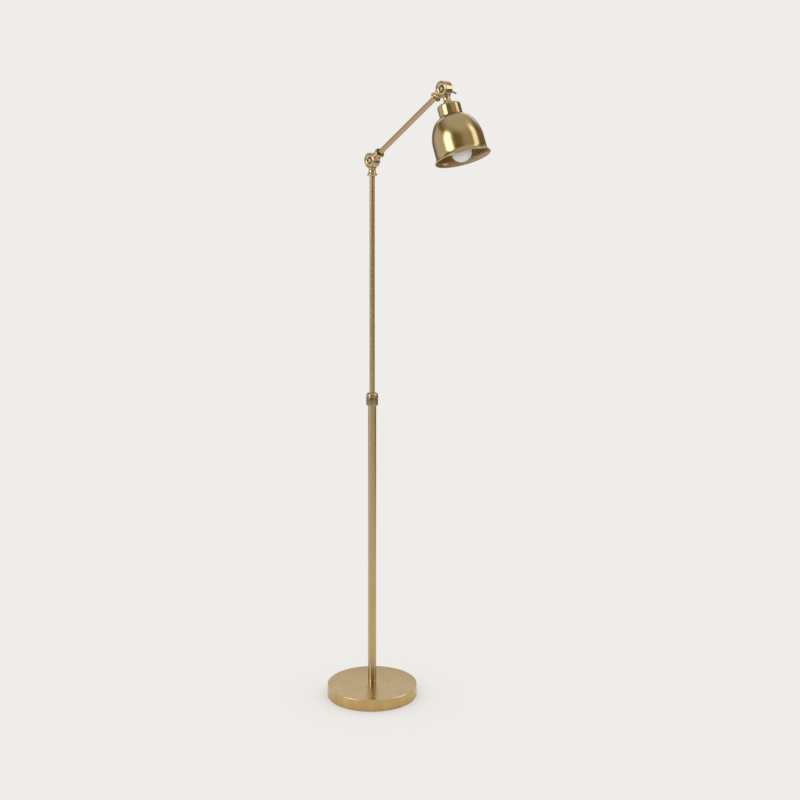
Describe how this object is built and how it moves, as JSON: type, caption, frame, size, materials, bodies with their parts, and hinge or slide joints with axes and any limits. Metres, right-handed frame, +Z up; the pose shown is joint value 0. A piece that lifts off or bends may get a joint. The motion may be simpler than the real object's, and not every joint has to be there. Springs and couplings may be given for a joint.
{
  "type": "bridge floor lamp",
  "caption": "Floor lamp with a weighted round base, a telescopic post locked by a knurled nut, a clamped arm and a tilting bell shade over an opal bulb.",
  "frame": {"origin": "centre of the base's underside, on the post's axis, at floor level", "axes": "+Z up the post; the arm leans out over +X; both knuckles turn about Y"},
  "size_m": [0.5384, 0.24, 1.6483],
  "materials": {
    "satin_brass": "satin brushed and lacquered",
    "antique_brass": "antique, satin lacquer",
    "polished_brass": "polished",
    "cast_iron": "rough cast",
    "foam": "matte foam",
    "black_rubber": "matte",
    "zinc_steel": "zinc plated",
    "nylon": "natural nylon",
    "fibre": "vulcanised fibre",
    "black_plastic": "moulded",
    "bulb_cap_metal": "bright",
    "opal_glass": "opal"
  },
  "bodies": {
    "base": {"base_cover": "satin_brass", "base_weight": "cast_iron", "base_pad": "foam", "cord_outlet_bush": "black_rubber", "base_stud": "zinc_steel", "base_washer": "zinc_steel", "base_nut": "zinc_steel", "foot_ferrule": "polished_brass", "lower_tube": "satin_brass", "lower_tube_plug": "zinc_steel", "top_ferrule": "polished_brass", "post_collet": "nylon"},
    "locking_nut": {"post_locking_nut": "antique_brass"},
    "slider": {"guide_bush": "nylon"},
    "upper_post": {"upper_tube": "satin_brass", "bush_ring_lower": "zinc_steel", "bush_ring_upper": "zinc_steel", "elbow_post_half": "polished_brass", "elbow_screw": "polished_brass", "elbow_friction_washer": "fibre", "elbow_spring_washer": "zinc_steel"},
    "elbow_wing": {"elbow_wing_nut": "polished_brass"},
    "arm": {"elbow_arm_half": "polished_brass", "arm_tube": "satin_brass", "tilt_arm_half": "polished_brass", "tilt_screw": "polished_brass", "tilt_friction_washer": "fibre", "tilt_spring_washer": "zinc_steel"},
    "tilt_wing": {"tilt_wing_nut": "polished_brass"},
    "head": {"tilt_head_half": "polished_brass", "head_nipple": "zinc_steel", "cap_locknut": "zinc_steel", "shade_cap": "antique_brass", "shade": "antique_brass", "shade_ring": "black_plastic", "lampholder": "black_plastic", "lampholder_shell": "polished_brass", "lampholder_contact": "polished_brass", "bulb_cap": "bulb_cap_metal", "bulb_globe": "opal_glass"}
  },
  "joints": [
    {"name": "nut_turn", "type": "hinge", "parent": "base", "child": "locking_nut", "pos_m": [0, 0, 0.779], "axis": [0, 0, 1], "range_deg": [0, 180]},
    {"name": "post_slide", "type": "slide", "parent": "base", "child": "slider", "axis": [0, 0, 1], "range_m": [-0.55, 0.04]},
    {"name": "post_swivel", "type": "hinge", "parent": "slider", "child": "upper_post", "pos_m": [0, 0, 0.706], "axis": [0, 0, 1], "range_deg": [-165, 165]},
    {"name": "elbow_fold", "type": "hinge", "parent": "upper_post", "child": "arm", "pos_m": [0, 0, 1.4408], "axis": [0, 1, 0], "range_deg": [-56, 58]},
    {"name": "elbow_wing_turn", "type": "hinge", "parent": "upper_post", "child": "elbow_wing", "pos_m": [0, 0, 1.4408], "axis": [0, 1, 0], "range_deg": [0, 180]},
    {"name": "head_tilt", "type": "hinge", "parent": "arm", "child": "head", "pos_m": [0.28037, 0, 1.62778], "axis": [0, 1, 0], "range_deg": [-110, 15]},
    {"name": "tilt_wing_turn", "type": "hinge", "parent": "arm", "child": "tilt_wing", "pos_m": [0.28037, 0, 1.62778], "axis": [0, 1, 0], "range_deg": [0, 180]}
  ]
}
